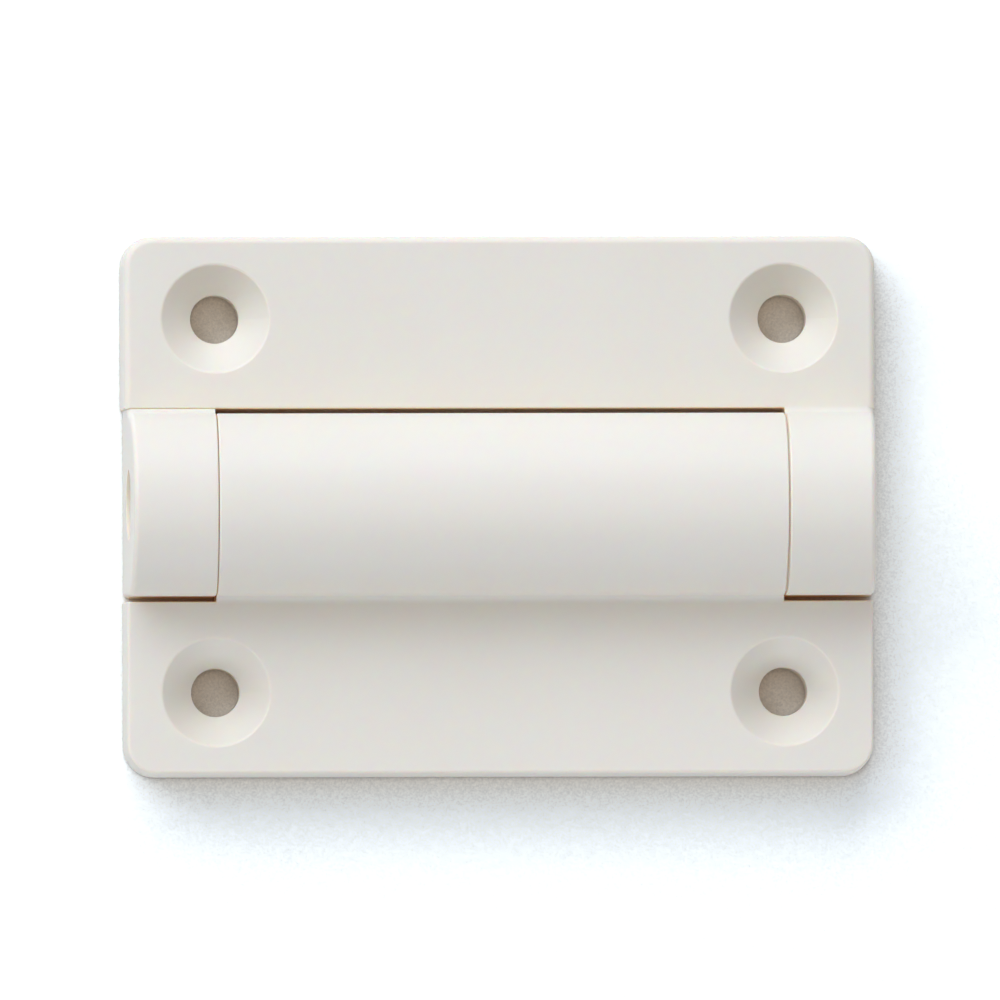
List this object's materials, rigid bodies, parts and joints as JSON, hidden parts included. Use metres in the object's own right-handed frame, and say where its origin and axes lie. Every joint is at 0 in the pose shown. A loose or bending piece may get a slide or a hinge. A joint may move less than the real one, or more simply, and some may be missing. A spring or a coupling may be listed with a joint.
{
  "type": "combination hinge",
  "caption": "Moulded surface-mount hinge laid flat: two screw-on leaves on a thick barrel that holds a rotary damper and a friction unit.",
  "frame": {"origin": "on the mounting face, at the middle of the hinge laid flat, under the hinge axis", "axes": "+X along the hinge axis, +Y towards the frame leaf, +Z out of the mounting face"},
  "size_m": [0.0698, 0.05, 0.017],
  "materials": {
    "ivory_plastic": "moulded with a fine matte grain",
    "natural_acetal": "moulded, smooth",
    "plated_steel": "turned and zinc plated",
    "phosphor_bronze": "stamped",
    "black_rubber": "moulded, smooth"
  },
  "bodies": {
    "frame_side": {"frame_leaf": "ivory_plastic", "end_cap": "ivory_plastic", "cap_screws": "plated_steel", "damper_rotor": "plated_steel", "vane_seal": "black_rubber", "friction_shaft": "plated_steel", "turning_discs": "plated_steel", "spring_leaves": "plated_steel", "flat_washers": "plated_steel", "lock_nut": "plated_steel"},
    "door_side": {"door_leaf": "ivory_plastic", "left_bush": "natural_acetal", "right_bush": "natural_acetal", "damper_housing": "natural_acetal", "damper_lid": "natural_acetal", "ring_seal": "black_rubber", "friction_housing": "plated_steel", "fixed_discs": "phosphor_bronze", "housing_cover": "natural_acetal", "retaining_ring": "plated_steel"}
  },
  "joints": [
    {"name": "leaf_hinge", "type": "hinge", "parent": "frame_side", "child": "door_side", "pos_m": [0, 0, 0.0086], "axis": [-1, 0, 0], "range_deg": [0, 180]}
  ]
}
